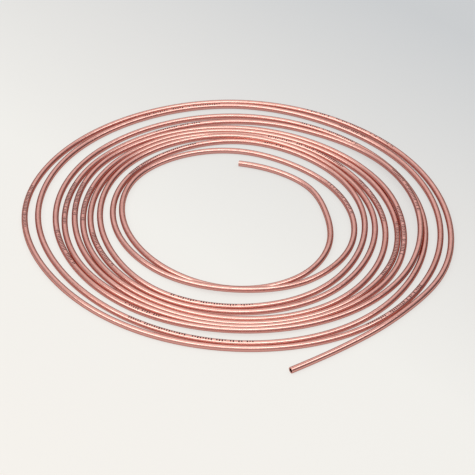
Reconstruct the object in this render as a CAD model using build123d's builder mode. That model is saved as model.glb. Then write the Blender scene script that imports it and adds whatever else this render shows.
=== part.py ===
"""A loose flat coil of soft copper tube, one piece from end to end, in millimetres, +Z up.

The tube starts near the middle of the coil, runs clockwise seen from above through ten and a half turns
that lie on the floor in one layer, and ends where its last stretch leaves the outside of the coil.
"""
from build123d import *
from math import cos, pi, radians, sin, sqrt, tan
import os

# The tube's own section.
tube_diameter = 6.0
wall_thickness = 1.0

# Turns that lie against each other are this far from contact.
turn_clearance = 0.1

# The route is laid out at twelve clock positions a turn, from the back of the coil round by its right.
first_position_angle = 90.0
inner_end_angle = 89.0

# Centre line radius of the innermost turn at each position.
inner_turn_radii = [86.5, 82.0, 83.5, 87.0, 102.5, 120.0, 124.0, 116.5, 111.5, 114.0, 119.0, 116.0]

# Air between each later turn and the turn inside it, at the same positions. The last turn is not whole.
air_gaps = [
    [16.5, 13.0, 13.0, 18.5, 15.0, 3.5, 0.0, 0.5, 3.5, 3.0, 1.0, 5.0],
    [12.5, 14.0, 10.5, 6.0, 4.0, 11.5, 17.5, 18.0, 10.5, 6.5, 7.0, 7.0],
    [0.5, 1.0, 0.0, 3.0, 4.5, 3.5, 1.5, 1.0, 3.5, 3.0, 0.5, 0.0],
    [0.5, 0.0, 1.0, 2.5, 6.5, 7.5, 4.0, 1.0, 2.0, 1.0, 0.5, 0.0],
    [0.0, 0.0, 4.5, 5.5, 5.5, 1.0, 0.5, 0.5, 0.5, 2.5, 4.5, 0.0],
    [0.0, 1.0, 0.5, 0.0, 1.0, 0.0, 0.0, 0.0, 4.0, 3.5, 0.5, 1.0],
    [7.0, 11.0, 14.0, 13.0, 6.0, 1.0, 0.0, 2.0, 0.0, 3.0, 4.5, 6.5],
    [4.5, 1.5, 0.0, 0.5, 0.5, 9.5, 11.0, 7.5, 8.0, 11.5, 13.5, 14.5],
    [14.5, 10.0, 10.0, 9.5, 8.0, 3.5, 1.0, 4.0, 6.0, 7.0, 3.5, 1.5],
    [1.0, 3.5, 2.5, 3.0, 5.5],
]

# Places where a turn rides up on its neighbour, as turn, position and height in tube widths.
raised_places = [
    (1, 6, 0.6),
    (1, 7, 0.1),
    (3, 0, 0.35),
    (6, 3, 0.5),
    (6, 5, 0.2),
    (6, 6, 0.2),
    (6, 7, 0.1),
    (7, 2, 0.6),
    (7, 3, 0.8),
    (7, 4, 0.3),
    (7, 5, 0.2),
    (7, 6, 0.4),
    (7, 7, 0.1),
]

# The bends of the last stretch and its cut end: distance outside the last position's radius, and angle.
last_bends = [(6.0, -58.5), (20.5, -72.5)]
outer_end_outside = 27.5
outer_end_angle = -79.0

# Straight tube left between two bends.
straight_between_bends = 4.0

positions_per_turn = len(inner_turn_radii)
position_step = 360.0 / positions_per_turn
tube_radius = tube_diameter / 2
bore_radius = tube_radius - wall_thickness
turn_pitch = tube_diameter + turn_clearance


def place_lifts():
    """Height of the centre line at each position, above where it lies when the tube is on the floor."""
    count = len(inner_turn_radii) + sum(len(gaps) for gaps in air_gaps)
    lifts = [0.0] * count
    for turn, position, widths in raised_places:
        lifts[turn * positions_per_turn + position] = widths * turn_pitch
    return lifts


def turn_radii(lifts):
    """Centre line radius at each position: each turn lies outside the last by the tube and the air."""
    radii = list(inner_turn_radii)
    for gaps in air_gaps:
        for gap in gaps:
            place = len(radii)
            inside = place - positions_per_turn
            rise = lifts[place] - lifts[inside]
            radii.append(radii[inside] + sqrt(turn_pitch**2 - rise**2) + gap)
    return radii


def at(radius, angle, lift):
    """Point of the centre line at this radius and compass angle."""
    turn = radians(angle)
    return Vector(radius * cos(turn), radius * sin(turn), tube_radius + lift)


def route_points():
    """The ends and bends of the centre line. A bend stands outside the arc that rounds it."""
    lifts = place_lifts()
    radii = turn_radii(lifts)
    outside = 1 / cos(radians(position_step / 2))
    points = [at(radii[0], inner_end_angle, lifts[0])]
    for place in range(1, len(radii)):
        angle = first_position_angle - place * position_step
        points.append(at(radii[place] * outside, angle, lifts[place]))
    for outside_last, angle in last_bends:
        points.append(at(radii[-1] + outside_last, angle, 0.0))
    points.append(at(radii[-1] + outer_end_outside, outer_end_angle, 0.0))
    return points


def bend_radii(points):
    """Radius of the arc at each bend, as large as the runs beside it allow."""
    radii = []
    for before, here, after in zip(points, points[1:], points[2:]):
        half_turn = radians((here - before).get_angle(after - here)) / 2
        shorter_run = min((here - before).length, (after - here).length)
        radii.append((shorter_run - straight_between_bends) / 2 / tan(half_turn))
    return radii


points = route_points()
radii = bend_radii(points)
with BuildLine() as route:
    FilletPolyline(*points, radius=radii)

first_run = points[1] - points[0]
with BuildPart() as copper_tube:
    with BuildSketch(Plane(origin=points[0], z_dir=first_run)):
        Circle(tube_radius)
        Circle(bore_radius, mode=Mode.SUBTRACT)
    sweep(path=route.wires()[0])

# The origin is on the floor, under the middle of the coil's box.
box = copper_tube.part.bounding_box()
to_origin = Vector(-box.center().X, -box.center().Y, -box.min.Z)
copper_tube.part.move(Location(to_origin))
copper_tube.part.label = "copper_tube"

length = route.wires()[0].length
section = pi * (tube_radius**2 - bore_radius**2)
print(f"bends {len(radii)}, tightest {min(radii):.1f} mm, tube length {length / 1000:.3f} m")
print(f"inner end at {points[0] + to_origin}, facing {(points[0] - points[1]).normalized()}")
print(f"outer end at {points[-1] + to_origin}, facing {(points[-1] - points[-2]).normalized()}")
print(f"middle of the turns at {to_origin.X:.3f}, {to_origin.Y:.3f}")
print(f"volume {copper_tube.part.volume:.0f}, section times length {section * length:.0f}")

os.makedirs("parts", exist_ok=True)
export_step(copper_tube.part, "parts/copper_tube.step")
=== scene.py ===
"""The looks of the copper tube coil: one smooth hollow tube on a pale floor, in metres."""
from math import cos, pi, radians, sin, sqrt, tau

import bpy
import numpy as np
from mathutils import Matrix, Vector


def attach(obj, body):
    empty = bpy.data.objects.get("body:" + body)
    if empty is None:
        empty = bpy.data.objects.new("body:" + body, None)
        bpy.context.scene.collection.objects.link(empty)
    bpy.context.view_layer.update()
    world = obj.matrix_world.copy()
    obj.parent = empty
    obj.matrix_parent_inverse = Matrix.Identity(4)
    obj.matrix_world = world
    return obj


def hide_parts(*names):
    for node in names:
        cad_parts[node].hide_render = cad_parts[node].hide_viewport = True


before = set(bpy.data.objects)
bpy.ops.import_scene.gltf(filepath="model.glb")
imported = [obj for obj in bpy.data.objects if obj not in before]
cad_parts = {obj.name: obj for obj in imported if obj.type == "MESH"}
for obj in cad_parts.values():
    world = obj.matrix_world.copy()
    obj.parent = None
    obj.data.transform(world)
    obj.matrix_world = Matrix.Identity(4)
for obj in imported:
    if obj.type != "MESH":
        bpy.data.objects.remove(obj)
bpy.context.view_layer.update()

MM = 0.001

# The tube's section, as in the part's own source.
TUBE_DIAMETER = 6.0 * MM
WALL_THICKNESS = 1.0 * MM
TURN_CLEARANCE = 0.1 * MM

# The route is laid out at twelve clock positions a turn, from the back of the coil round by its right.
FIRST_POSITION_ANGLE = 90.0
INNER_END_ANGLE = 89.0

# Centre line radius of the innermost turn at each position, in millimetres.
INNER_TURN_RADII = [86.5, 82.0, 83.5, 87.0, 102.5, 120.0, 124.0, 116.5, 111.5, 114.0, 119.0, 116.0]

# Air between each later turn and the turn inside it, at the same positions, in millimetres. A few gaps differ
# from those in the part's source, so that a smooth curve through the positions clears its neighbours.
AIR_GAPS = [
    [16.5, 13.0, 13.0, 18.5, 15.0, 3.5, 0.6, 0.6, 3.5, 3.0, 1.0, 5.0],
    [12.5, 14.0, 10.5, 6.0, 4.0, 11.5, 16.9, 18.0, 10.5, 6.5, 7.0, 7.0],
    [0.5, 1.0, 0.0, 3.0, 4.5, 3.5, 1.5, 1.0, 3.5, 3.0, 0.5, 0.0],
    [0.5, 0.0, 1.0, 2.5, 6.5, 7.5, 4.0, 1.0, 2.0, 1.0, 0.5, 0.0],
    [0.6, 0.5, 4.5, 5.5, 5.5, 1.0, 0.5, 0.5, 0.5, 2.5, 4.5, 0.6],
    [0.0, 0.5, 0.5, 0.1, 1.0, 0.0, 0.4, 0.5, 4.0, 3.5, 0.6, 0.8],
    [6.5, 11.0, 14.0, 13.0, 6.0, 1.0, 0.2, 1.5, 0.0, 3.0, 4.5, 6.5],
    [4.5, 1.5, 0.0, 0.8, 1.1, 9.5, 10.4, 7.5, 8.0, 11.5, 13.5, 14.5],
    [14.5, 10.0, 10.0, 9.2, 7.4, 3.5, 1.0, 4.0, 6.0, 7.0, 3.5, 1.5],
    [1.0, 3.5, 2.5, 3.0, 4.2],
]

# Places where a turn rides up on its neighbour, as turn, position and height in tube widths.
RAISED_PLACES = [
    (1, 6, 0.6),
    (1, 7, 0.1),
    (3, 0, 0.35),
    (6, 3, 0.5),
    (6, 5, 0.2),
    (6, 6, 0.2),
    (6, 7, 0.1),
    (7, 2, 0.6),
    (7, 3, 0.8),
    (7, 4, 0.3),
    (7, 5, 0.2),
    (7, 6, 0.4),
    (7, 7, 0.1),
]

# The last stretch, as distance outside the last position in millimetres and compass angle.
TAIL = [(1.5, -45.0), (4.7, -54.0), (10.0, -63.5), (16.9, -71.0), (27.9, -79.0)]

POSITIONS_PER_TURN = len(INNER_TURN_RADII)
POSITION_STEP = 360.0 / POSITIONS_PER_TURN
TUBE_RADIUS = TUBE_DIAMETER / 2
BORE_RADIUS = TUBE_RADIUS - WALL_THICKNESS
TURN_PITCH = TUBE_DIAMETER + TURN_CLEARANCE

# The curve through the positions: its samples between each two, and how much it bends at the outer end, as a
# share of its bend at the position before.
CURVE_SAMPLES = 60
OUTER_END_BEND = 0.3

# The mesh: steps along the tube, sides round it, and the broken edge at each cut with a ring close behind it.
# The bore has a ring at every fourth step, apart from the steps near the cuts.
STEP_LENGTH = 4.5 * MM
SIDES = 24
EDGE_BREAK = 0.12 * MM
BEHIND_EDGE = 3 * EDGE_BREAK
BORE_STEPS = 4
STEPS_NEAR_CUT = 12

# The way round the tube is counted from 0 to 1, from the side that faces the coil's middle over the top, and
# this much higher in the bore.
TUBE_TOP = 0.25
BORE_COUNT_FROM = 2.0

# The map for the bake, in shares of the picture: the tube's outside and bore cut into rows, and above them
# the two cut ends as discs, with their places in disc widths from the left and from the top.
BAKE_ROWS = 23
ROW_PITCH = 0.0425
OUTSIDE_HEIGHT = 0.036
BORE_HEIGHT = 0.0035
ROW_GAP = 0.0015
DISC_WIDTH = 0.018
OUTER_END_DISC = 0.7
INNER_END_DISC = 2.2
DISCS_FROM_TOP = 0.55

# Printed marks are seen here, as turn and the compass angles between which they stand.
MARKED_PLACES = [
    (1, 28, -3),
    (1, 150, 110),
    (2, 77, 68),
    (2, -84, -114),
    (3, -143, -165),
    (4, 78, 35),
    (4, 24, -8),
    (4, 187, 165),
    (5, -8, -38),
    (5, 184, 162),
    (6, 2, -26),
    (6, 188, 164),
    (6, 122, 103),
    (7, 23, -3),
    (7, -112, -125),
    (7, -150, -170),
    (8, 67, 43),
    (8, -86, -120),
    (8, 120, 95),
    (9, 56, 44),
    (9, -35, -57),
    (9, 188, 168),
    (10, 68, 34),
]

# The marks are bare ticks: from one to the next, how much of that the tick takes, how many are left out, and
# how far they reach to each side of the tube's top, as a share of the way round, at least and at most.
TICK_PITCH = 2.5 * MM
TICK_SHARE = 0.45
LEFT_OUT_SHARE = 0.15
TICK_REACH = (0.03, 0.10)

# Painted light makes the copper lighter where turns lie close together, against the shade between them, out
# to this much air between them.
GAP_LIGHT_REACH = 2.0 * MM

# The noises in the copper, as length in the noise for a metre of tube, then scale, detail and roughness.
DRAWN_LINES = (9.0, 6.0, 3.0, 0.6)
TARNISH = (14.0, 0.9, 3.0, 0.55)
MOTTLING = (180.0, 1.3, 3.0, 0.65)
SPECKS = (330.0, 1.6, 2.0, 0.5)

# How much of each shows at which values of its noise, and of the painted shade on the flanks and underside at
# which heights on the tube, where 0 is the height of its middle and 1 its top.
LINES_SHOWN = [(0.35, 0.0), (0.65, 1.0)]
TARNISH_SHOWN = [(0.50, 0.0), (0.75, 0.55)]
MOTTLING_SHOWN = [(0.40, 0.0), (0.65, 0.45)]
SPECKS_SHOWN = [(0.62, 0.0), (0.74, 0.4)]
FLANK_SHADE_SHOWN = [(0.0, 1.0), (0.35, 0.7), (0.65, 0.0)]

# The copper's colours, from the lowest layer to the highest, and the tint of what it mirrors at a slant.
FRESH_COPPER = (0.95, 0.52, 0.445, 1)
LINED_COPPER = (0.90, 0.46, 0.40, 1)
TARNISHED_COPPER = (0.76, 0.33, 0.26, 1)
MOTTLED_COPPER = (0.72, 0.33, 0.28, 1)
SPECKED_COPPER = (0.42, 0.16, 0.11, 1)
# Painted shade: the flanks and underside of the tube are darkened, standing in for the shade that falls
# there.
FLANK_SHADE_COPPER = (0.645, 0.316, 0.280, 1)
# Painted light: lighter copper where turns lie close together, lifting the shade between them.
GAP_LIGHT_COPPER = (0.86, 0.47, 0.40, 1)
# Painted shade: the bore is coloured near black, for the shade inside the tube.
BORE_SHADE_COPPER = (0.10, 0.05, 0.04, 1)
MARK_COLOUR = (0.06, 0.025, 0.025, 1)
SLANT_TINT = (0.35, 0.20, 0.18, 1)

# The copper's roughness where nothing lies on it, and what each layer adds.
BARE_ROUGHNESS = 0.04
LINES_ROUGHNESS = 0.10
MOTTLING_ROUGHNESS = 0.10
TARNISH_ROUGHNESS = 0.16
BORE_ROUGHNESS = 0.3
MARK_ROUGHNESS = 0.3

# How deep the drawing lines are, and how much of that the bump shows.
LINE_DEPTH = 0.03 * MM
LINE_BUMP = 0.25

# The dome's colour goes by the sine of the height above the floor, counted higher towards the left and front.
DOME_LEAN = (-0.32, -0.25)
DOME_STOPS = [
    (0.0, (0.10, 0.09, 0.095)),
    (0.3, (0.31, 0.28, 0.30)),
    (0.5, (0.50, 0.46, 0.49)),
    (0.7, (0.46, 0.45, 0.455)),
    (0.85, (0.77, 0.79, 0.78)),
    (1.0, (1.03, 1.08, 1.06)),
]

# A pale wall glows behind the coil, round one direction, from the first of two cosines to it to the second.
WALL_TOWARDS = (0.03, 0.83, 0.556)
WALL_REACH = (0.61, 1.0)
WALL_LIGHT = (0.42, 0.46, 0.455)

# The strip is a lamp on a ceiling of height 1, from the left to the right: in front of the coil in its
# middle, curving back and growing wider to its ends. It fades from the first of two half lengths and half
# widths to the second. Directions lower than the least height meet the ceiling as if they had that height.
STRIP_MIDDLE = (-0.17, -0.445)
STRIP_CURVE = 0.53
STRIP_SPREAD = 1.1
STRIP_LENGTH = (1.0, 1.2)
STRIP_WIDTH = (0.07, 0.14)
STRIP_LIGHT = (2.7, 3.15, 3.05)
LEAST_HEIGHT = 0.05

# The floor's colours from the front left to the back right, growing darker there as painted shade where less
# light
# # reaches, with how far they go in a metre and the origin's place in them. A share of its paleness is its
# own, as seen by the camera and in the copper.
FLOOR_SIZE = 60
FLOOR_SHADED_COLOURS = [
    (0.15, (0.92, 0.88, 0.835)),
    (0.45, (0.885, 0.862, 0.827)),
    (0.65, (0.765, 0.75, 0.735)),
    (0.90, (0.60, 0.607, 0.62)),
]
FLOOR_TOWARDS = (0.7, 0.7, 0.0)
FLOOR_STEP = 0.9
FLOOR_AT_ORIGIN = 0.5
FLOOR_OWN_SHARE = 0.8
FLOOR_ROUGHNESS = 0.6
FLOOR_SHINE = 0.3

# The camera, from the photograph: it looks across the coil's middle from the front. Its distance is in
# metres, its sensor in millimetres.
COIL_TO_CAMERA = 1.848
CAMERA_ELEVATION = 35.4
CAMERA_TILT = 36.1
FOCAL_LENGTH_IN_PIXELS = 1870
PICTURE_WIDTH_IN_PIXELS = 475
SENSOR_WIDTH = 36


def place_lifts():
    """Height of the centre line at each position, above where it lies when the tube is on the floor."""
    count = len(INNER_TURN_RADII) + sum(len(gaps) for gaps in AIR_GAPS)
    lifts = [0.0] * count
    for turn, position, widths in RAISED_PLACES:
        lifts[turn * POSITIONS_PER_TURN + position] = widths * TURN_PITCH
    return lifts


def turn_radii(lifts):
    """Centre line radius at each position: each turn lies outside the last by the tube and the air."""
    radii = [radius * MM for radius in INNER_TURN_RADII]
    for gaps in AIR_GAPS:
        for gap in gaps:
            place = len(radii)
            inside = place - POSITIONS_PER_TURN
            rise = lifts[place] - lifts[inside]
            radii.append(radii[inside] + sqrt(TURN_PITCH**2 - rise**2) + gap * MM)
    return radii


def at(radius, angle, lift):
    """Point of the centre line at this radius and compass angle."""
    turn = radians(angle)
    return np.array([radius * cos(turn), radius * sin(turn), TUBE_RADIUS + lift])


def route_points():
    """The ends and positions that the centre line runs through."""
    lifts = place_lifts()
    radii = turn_radii(lifts)
    points = [at(radii[0], INNER_END_ANGLE, lifts[0])]
    for place in range(1, len(radii)):
        points.append(at(radii[place], FIRST_POSITION_ANGLE - place * POSITION_STEP, lifts[place]))
    for outside, angle in TAIL:
        points.append(at(radii[-1] + outside * MM, angle, 0.0))
    return np.array(points)


def lengths_along(points):
    """Distance of each point from the first, along the points."""
    return np.concatenate([[0], np.cumsum(np.linalg.norm(np.diff(points, axis=0), axis=1))])


def between(places, along, points):
    """The points at these places along a line, from points whose places are known."""
    return np.stack([np.interp(places, along, points[:, k]) for k in range(3)], axis=1)


def curve_through(points, samples):
    """Smooth cubic curve through all the points, with this many samples from each to the next."""
    gaps = np.diff(lengths_along(points))
    slopes = np.diff(points, axis=0) / gaps[:, None]
    count = len(points)
    system = np.eye(count)
    right = np.zeros_like(points)
    for k in range(1, count - 1):
        system[k, k - 1 : k + 2] = gaps[k - 1], 2 * (gaps[k - 1] + gaps[k]), gaps[k]
        right[k] = 6 * (slopes[k] - slopes[k - 1])
    system[0, 1] = -1.0
    system[-1, -2] = -OUTER_END_BEND
    bend = np.linalg.solve(system, right)
    share = (np.arange(samples) / samples)[:, None]
    spans = []
    for k in range(count - 1):
        h = gaps[k]
        t = share * h
        steep = slopes[k] - h * (2 * bend[k] + bend[k + 1]) / 6
        spans.append(points[k] + t * (steep + t * (bend[k] / 2 + t * (bend[k + 1] - bend[k]) / (6 * h))))
    return np.concatenate(spans + [points[-1:]])


def centre_line():
    """Evenly spaced points of the tube's centre line, with the distance of each from the inner end."""
    dense = curve_through(route_points(), CURVE_SAMPLES)
    # Between two positions the curve can sag below the floor.
    dense[:, 2] = np.maximum(dense[:, 2], TUBE_RADIUS)
    along = lengths_along(dense)
    count = int(along[-1] / STEP_LENGTH) + 1
    even = np.linspace(0, along[-1], count)
    return between(even, along, dense), even


def compass_along(line):
    """Compass angle of each point of the centre line, counted on from turn to turn."""
    compass = np.degrees(np.unwrap(np.arctan2(line[:, 1], line[:, 0])))
    return compass + INNER_END_ANGLE - compass[0]


def gap_light_share(line, turns_on):
    """How near each point of the centre line is to the turn this many turns on, as the share of painted light
    there: 1 where they touch.
    """
    compass = compass_along(line)
    there = compass - 360.0 * turns_on
    air = np.linalg.norm(between(-there, -compass, line) - line, axis=1) - TUBE_DIAMETER
    near = np.clip(1 - air / GAP_LIGHT_REACH, 0, 1)
    return np.where((there > compass[0]) | (there < compass[-1]), 0.0, near)


def marked_share(line):
    """For each point of the centre line, 1 where the tube carries printed marks and 0 elsewhere."""
    compass = compass_along(line)
    marked = np.zeros(len(line))
    for turn, start, end in MARKED_PLACES:
        lead = (FIRST_POSITION_ANGLE - start) % 360
        begin = FIRST_POSITION_ANGLE - 360 * turn - lead
        marked[(compass <= begin) & (compass >= begin - (start - end))] = 1
    return marked


def cross_frames(line, along):
    """Inward and upward directions of the tube's section at each point of the centre line."""
    tangent = np.gradient(line, along, axis=0)
    tangent /= np.linalg.norm(tangent, axis=1)[:, None]
    inward = np.cross(tangent, [0.0, 0.0, 1.0])
    inward /= np.linalg.norm(inward, axis=1)[:, None]
    return inward, np.cross(inward, tangent)


def tube_rings(along):
    """Rings of the tube as (distance, radius): the outside, the far cut, the bore back, the near cut."""
    length = along[-1]
    steps = list(along)
    near = [EDGE_BREAK, BEHIND_EDGE]
    far = [length - BEHIND_EDGE, length - EDGE_BREAK]
    middle = steps[STEPS_NEAR_CUT:-STEPS_NEAR_CUT:BORE_STEPS]
    outside = near + steps[1:-1] + far
    bore = near + steps[1:STEPS_NEAR_CUT] + middle + steps[-STEPS_NEAR_CUT:-1] + far
    rings = [(s, TUBE_RADIUS) for s in outside]
    rings += [(length, TUBE_RADIUS - EDGE_BREAK), (length, BORE_RADIUS + EDGE_BREAK)]
    rings += [(s, BORE_RADIUS) for s in bore[::-1]]
    rings += [(0.0, BORE_RADIUS + EDGE_BREAK), (0.0, TUBE_RADIUS - EDGE_BREAK)]
    return rings, len(outside), len(bore)


def tube_vertices(line, along, rings):
    """The corners of the mesh, ring by ring."""
    distances, sizes = np.array(rings).T
    inward, upward = (between(distances, along, way)[:, None] for way in cross_frames(line, along))
    angles = (np.arange(SIDES) / SIDES * tau)[None, :, None]
    outward = np.cos(angles) * inward + np.sin(angles) * upward
    return (between(distances, along, line)[:, None] + sizes[:, None, None] * outward).reshape(-1, 3)


def bake_places(rings, outside_count):
    """For each band of faces but the cuts, its start and end in its row, and the row's foot and height."""
    near_edge = len(rings) - 1
    outside = [near_edge] + list(range(outside_count + 1))
    bore = list(range(outside_count + 1, near_edge))
    places = {}
    for path, foot, height in ((outside, 0.0, OUTSIDE_HEIGHT), (bore, OUTSIDE_HEIGHT + ROW_GAP, BORE_HEIGHT)):
        profile = np.array([rings[ring] for ring in path])
        along = np.concatenate([[0], np.cumsum(np.hypot(*np.diff(profile, axis=0).T))])
        rows = (along[:-1] / along[-1] * BAKE_ROWS).astype(int)
        starts = [along[:-1][rows == row].min() for row in range(BAKE_ROWS)]
        longest = max(along[1:][rows == row].max() - starts[row] for row in range(BAKE_ROWS))
        for ring, begin, end, row in zip(path, along, along[1:], rows):
            left, right = (begin - starts[row]) / longest, (end - starts[row]) / longest
            places[ring] = (left, right, row * ROW_PITCH + foot, height)
    return places


def bake_corners(rings, outside_count):
    """The bake map's corners of all faces, band by band."""
    places = bake_places(rings, outside_count)
    corners = []
    for ring in range(len(rings)):
        for side in range(SIDES):
            shares = (side / SIDES, (side + 1) / SIDES)
            if ring in places:
                left, right, foot, height = places[ring]
                low, high = (foot + height * share for share in shares)
                corners += [(left, low), (right, low), (right, high), (left, high)]
            else:
                middle = DISC_WIDTH * (OUTER_END_DISC if ring == outside_count else INNER_END_DISC)
                level = 1 - DISCS_FROM_TOP * DISC_WIDTH
                sizes = [rings[k][1] / TUBE_DIAMETER * DISC_WIDTH for k in (ring, ring + 1)]
                for size, share in ((sizes[0], 0), (sizes[1], 0), (sizes[1], 1), (sizes[0], 1)):
                    turn = tau * shares[share]
                    corners.append((middle + size * cos(turn), level + size * sin(turn)))
    return corners


def make_tube():
    """The smooth tube, standing on the origin, and how far its route was shifted back to bring it there."""
    line, along = centre_line()
    rings, outside_count, bore_count = tube_rings(along)
    vertices = tube_vertices(line, along, rings)
    shift = (vertices.max(axis=0) + vertices.min(axis=0)) / 2
    shift[2] = vertices[:, 2].min()

    distances = [s for s, radius in rings]
    marks = np.interp(distances, along, marked_share(line))
    gap_light_in = np.interp(distances, along, gap_light_share(line, -1))
    gap_light_out = np.interp(distances, along, gap_light_share(line, 1))

    def marks_and_gap_light(ring, side):
        """The printed marks and the painted light between close turns at this corner of the mesh."""
        inwards = cos(tau * side / SIDES)
        gap_light = max(inwards, 0.0) * gap_light_in[ring] + max(-inwards, 0.0) * gap_light_out[ring]
        return marks[ring], gap_light

    first_bore = outside_count + 2
    faces = []
    routes = []
    marks_and_gap_lights = []
    smooth = []
    for ring in range(len(rings)):
        after = (ring + 1) % len(rings)
        in_bore = first_bore <= ring < first_bore + bore_count - 1
        count_from = BORE_COUNT_FROM if in_bore else 0.0
        is_cut = ring in (outside_count, len(rings) - 2)
        for side in range(SIDES):
            corners = [(ring, side), (after, side), (after, side + 1), (ring, side + 1)]
            faces.append([k * SIDES + j % SIDES for k, j in corners])
            routes += [(distances[k], count_from + j / SIDES) for k, j in corners]
            marks_and_gap_lights += [marks_and_gap_light(k, j) for k, j in corners]
            smooth.append(not is_cut)

    mesh = bpy.data.meshes.new("copper_tube_smooth")
    mesh.from_pydata((vertices - shift).tolist(), [], faces)
    baked = bake_corners(rings, outside_count)
    for name, values in (("along_and_around", routes), ("marks_and_gap_light", marks_and_gap_lights), ("OFBake", baked)):
        layer = mesh.uv_layers.new(name=name)
        layer.data.foreach_set("uv", np.array(values, dtype=np.float32).ravel())
    mesh.polygons.foreach_set("use_smooth", smooth)
    mesh.validate()
    mesh.update()
    tube = bpy.data.objects.new("copper_tube_smooth", mesh)
    bpy.context.scene.collection.objects.link(tube)
    print("tube triangles", 2 * len(faces), "length", round(along[-1], 3))
    return tube, shift


class Nodes:
    """Adds nodes to a material or world and joins them up."""

    def __init__(self, tree):
        self.tree = tree

    def add(self, kind, inputs=None, **settings):
        node = self.tree.nodes.new(kind)
        for name, value in settings.items():
            setattr(node, name, value)
        for name, value in (inputs or {}).items():
            self.put(value, node.inputs[name])
        return node

    def put(self, value, socket):
        if isinstance(value, bpy.types.NodeSocket):
            self.tree.links.new(value, socket)
        else:
            socket.default_value = value

    def maths(self, operation, first, second=0.0, third=0.0):
        node = self.tree.nodes.new("ShaderNodeMath")
        node.operation = operation
        for value, socket in zip((first, second, third), node.inputs):
            self.put(value, socket)
        return node.outputs[0]

    def product(self, *values):
        result = values[0]
        for value in values[1:]:
            result = self.maths("MULTIPLY", result, value)
        return result

    def dot(self, place, direction):
        inputs = {0: place, 1: direction}
        return self.add("ShaderNodeVectorMath", inputs, operation="DOT_PRODUCT").outputs["Value"]

    def light(self, share, colour, under):
        """This share of a coloured light, added to the light under it."""
        inputs = {0: share, 1: colour, 2: under}
        return self.add("ShaderNodeVectorMath", inputs, operation="MULTIPLY_ADD").outputs["Vector"]

    def fade(self, value, reach):
        """Smoothly from 1 at the first of two values to 0 at the second."""
        limits = {"Value": value, "From Min": reach[0], "From Max": reach[1], "To Min": 1.0, "To Max": 0.0}
        return self.add("ShaderNodeMapRange", limits, interpolation_type="SMOOTHSTEP").outputs[0]

    def ramp(self, value, stops):
        node = self.tree.nodes.new("ShaderNodeValToRGB")
        self.put(value, node.inputs[0])
        elements = node.color_ramp.elements
        while len(elements) < len(stops):
            elements.new(1.0)
        for element, (position, colour) in zip(elements, stops):
            element.position = position
            element.color = (*colour, 1) if isinstance(colour, tuple) else (colour, colour, colour, 1)
        return node.outputs[0]

    def blend(self, share, first, second):
        node = self.tree.nodes.new("ShaderNodeMix")
        node.data_type = "RGBA"
        self.put(share, node.inputs["Factor"])
        self.put(first, node.inputs[6])
        self.put(second, node.inputs[7])
        return node.outputs[2]


def new_material(name):
    material = bpy.data.materials.new(name)
    material.use_nodes = True
    return material, Nodes(material.node_tree), material.node_tree.nodes["Principled BSDF"]


def copper_material():
    """Drawn soft copper: pink metal with fine lines along it, mottling, faint tarnish and specks. Its flanks
    and underside are darkened with painted shade, painted light brightens it where turns lie close together,
    and it has printed marks and a dull bore darkened with painted shade."""
    material, nodes, shader = new_material("drawn_copper")
    route = nodes.add("ShaderNodeUVMap", uv_map="along_and_around").outputs[0]
    along, around = nodes.add("ShaderNodeSeparateXYZ", {0: route}).outputs[:2]
    marks_and_gap_light = nodes.add("ShaderNodeUVMap", uv_map="marks_and_gap_light").outputs[0]
    marked, gap_light = nodes.add("ShaderNodeSeparateXYZ", {0: marks_and_gap_light}).outputs[:2]
    angle = nodes.maths("MULTIPLY", around, tau)
    inwards = nodes.maths("COSINE", angle)
    height = nodes.maths("SINE", angle)

    def noise(length, scale, detail, roughness):
        place = {0: nodes.maths("MULTIPLY", along, length), 1: inwards, 2: height}
        vector = nodes.add("ShaderNodeCombineXYZ", place).outputs[0]
        inputs = {"Vector": vector, "Scale": scale, "Detail": detail, "Roughness": roughness}
        return nodes.add("ShaderNodeTexNoise", inputs).outputs["Fac"]

    lines = noise(*DRAWN_LINES)
    tarnish = nodes.ramp(noise(*TARNISH), TARNISH_SHOWN)
    mottling = noise(*MOTTLING)
    specks = noise(*SPECKS)
    bore = nodes.maths("GREATER_THAN", around, BORE_COUNT_FROM - 0.5)
    marks = printed_marks(nodes, marked, along, around)

    layers = [
        (nodes.ramp(lines, LINES_SHOWN), LINED_COPPER),
        (tarnish, TARNISHED_COPPER),
        (nodes.ramp(mottling, MOTTLING_SHOWN), MOTTLED_COPPER),
        (nodes.ramp(specks, SPECKS_SHOWN), SPECKED_COPPER),
        # painted shade on the flanks and underside
        (nodes.ramp(height, FLANK_SHADE_SHOWN), FLANK_SHADE_COPPER),
        # painted light where turns lie close together
        (gap_light, GAP_LIGHT_COPPER),
        # painted shade in the bore
        (bore, BORE_SHADE_COPPER),
        (marks, MARK_COLOUR),
    ]
    colour = FRESH_COPPER
    for share, over in layers:
        colour = nodes.blend(share, colour, over)
    nodes.put(colour, shader.inputs["Base Color"])
    nodes.put(nodes.maths("SUBTRACT", 1.0, marks), shader.inputs["Metallic"])

    roughened = [
        (lines, LINES_ROUGHNESS),
        (mottling, MOTTLING_ROUGHNESS),
        (tarnish, TARNISH_ROUGHNESS),
        (bore, BORE_ROUGHNESS),
        (marks, MARK_ROUGHNESS),
    ]
    roughness = BARE_ROUGHNESS
    for share, added in roughened:
        roughness = nodes.maths("MULTIPLY_ADD", share, added, roughness)
    nodes.put(roughness, shader.inputs["Roughness"])

    shader.inputs["Specular Tint"].default_value = SLANT_TINT
    inputs = {"Height": lines, "Strength": LINE_BUMP, "Distance": LINE_DEPTH}
    nodes.put(nodes.add("ShaderNodeBump", inputs).outputs[0], shader.inputs["Normal"])
    return material


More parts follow.
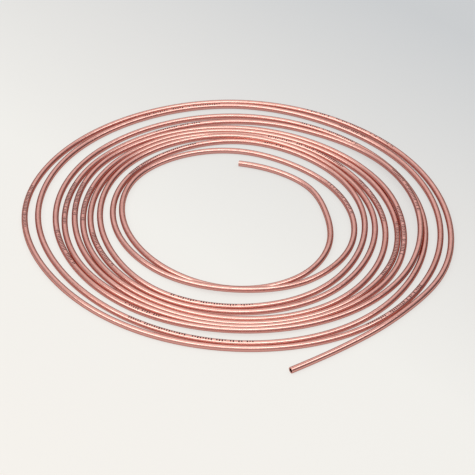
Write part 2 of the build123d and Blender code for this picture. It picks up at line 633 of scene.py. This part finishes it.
def printed_marks(nodes, marked, along, around):
    """Short bare ticks in a row along the top of the tube, in groups."""
    ticks_along = nodes.maths("DIVIDE", along, TICK_PITCH)
    tick = nodes.maths("LESS_THAN", nodes.maths("FRACT", ticks_along), TICK_SHARE)
    number = nodes.maths("FLOOR", ticks_along)
    chance = nodes.add("ShaderNodeTexWhiteNoise", {"W": number}, noise_dimensions="1D").outputs["Value"]
    kept = nodes.maths("GREATER_THAN", chance, LEFT_OUT_SHARE)
    least, most = TICK_REACH
    reach = nodes.maths("MULTIPLY_ADD", chance, most - least, least)
    off_top = nodes.maths("ABSOLUTE", nodes.maths("SUBTRACT", around, TUBE_TOP))
    near_top = nodes.maths("LESS_THAN", off_top, reach)
    shown = nodes.maths("GREATER_THAN", marked, 0.5)
    return nodes.product(tick, kept, near_top, shown)


def floor_material():
    """Pale matt floor, with painted shade making it darker to the back and the right."""
    material, nodes, shader = new_material("pale_floor")
    place = nodes.add("ShaderNodeTexCoord").outputs["Object"]
    share = nodes.maths("MULTIPLY_ADD", nodes.dot(place, FLOOR_TOWARDS), FLOOR_STEP, FLOOR_AT_ORIGIN)
    colour = nodes.ramp(share, FLOOR_SHADED_COLOURS)
    nodes.put(colour, shader.inputs["Base Color"])
    shader.inputs["Roughness"].default_value = FLOOR_ROUGHNESS
    shader.inputs["Specular IOR Level"].default_value = FLOOR_SHINE
    own = nodes.add("ShaderNodeEmission", {"Color": colour}).outputs[0]
    ray = nodes.add("ShaderNodeLightPath").outputs
    reflected = nodes.maths("MAXIMUM", ray["Is Glossy Ray"], ray["Is Transmission Ray"])
    seen = nodes.maths("MAXIMUM", ray["Is Camera Ray"], reflected)
    own_share = nodes.maths("MULTIPLY", seen, FLOOR_OWN_SHARE)
    mix = nodes.add("ShaderNodeMixShader", {0: own_share, 1: shader.outputs[0], 2: own})
    nodes.put(mix.outputs[0], material.node_tree.nodes["Material Output"].inputs["Surface"])
    return material


def make_floor():
    bpy.ops.mesh.primitive_plane_add(size=FLOOR_SIZE)
    floor = bpy.context.object
    floor.name = "floor"
    floor.data.materials.append(floor_material())


def make_world():
    """A soft room: a dome that dims towards the floor, the glow of a wall and a curved lamp."""
    world = bpy.data.worlds.new("room")
    bpy.context.scene.world = world
    world.use_nodes = True
    nodes = Nodes(world.node_tree)
    background = world.node_tree.nodes["Background"]
    towards = nodes.add("ShaderNodeTexCoord").outputs["Generated"]
    right, back, up = nodes.add("ShaderNodeSeparateXYZ", {0: towards}).outputs

    leant = nodes.maths("MULTIPLY_ADD", right, DOME_LEAN[0], up)
    leant = nodes.maths("MULTIPLY_ADD", back, DOME_LEAN[1], leant)
    dome = nodes.ramp(leant, DOME_STOPS)
    wall = nodes.maths("SUBTRACT", 1.0, nodes.fade(nodes.dot(towards, WALL_TOWARDS), WALL_REACH))

    height = nodes.maths("MAXIMUM", up, LEAST_HEIGHT)
    middle_right, middle_back = STRIP_MIDDLE
    aside = nodes.maths("SUBTRACT", nodes.maths("DIVIDE", right, height), middle_right)
    aside = nodes.maths("ABSOLUTE", aside)
    behind = nodes.maths("SUBTRACT", nodes.maths("DIVIDE", back, height), middle_back)
    near_aside = nodes.maths("MINIMUM", aside, STRIP_LENGTH[0])
    curve = nodes.product(near_aside, near_aside, STRIP_CURVE)
    off = nodes.maths("ABSOLUTE", nodes.maths("SUBTRACT", behind, curve))
    off = nodes.maths("DIVIDE", off, nodes.maths("MULTIPLY_ADD", aside, STRIP_SPREAD, 1.0))
    strip = nodes.product(nodes.fade(aside, STRIP_LENGTH), nodes.fade(off, STRIP_WIDTH))

    glow = nodes.light(wall, WALL_LIGHT, dome)
    nodes.put(nodes.light(strip, STRIP_LIGHT, glow), background.inputs["Color"])


def make_camera(coil_centre):
    data = bpy.data.cameras.new("camera")
    data.sensor_width = SENSOR_WIDTH
    data.lens = FOCAL_LENGTH_IN_PIXELS / PICTURE_WIDTH_IN_PIXELS * SENSOR_WIDTH
    camera = bpy.data.objects.new("camera", data)
    rise = radians(CAMERA_ELEVATION)
    camera.location = coil_centre + Vector((0, -COIL_TO_CAMERA * cos(rise), COIL_TO_CAMERA * sin(rise)))
    camera.rotation_euler = (pi / 2 - radians(CAMERA_TILT), 0, 0)
    bpy.context.scene.collection.objects.link(camera)
    bpy.context.scene.camera = camera


tube, shift = make_tube()
tube.data.materials.append(copper_material())
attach(tube, "root")
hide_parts("copper_tube")
make_camera(Vector((-shift[0], -shift[1], 0)))
make_floor()
make_world()
bpy.context.scene.view_settings.view_transform = "Standard"
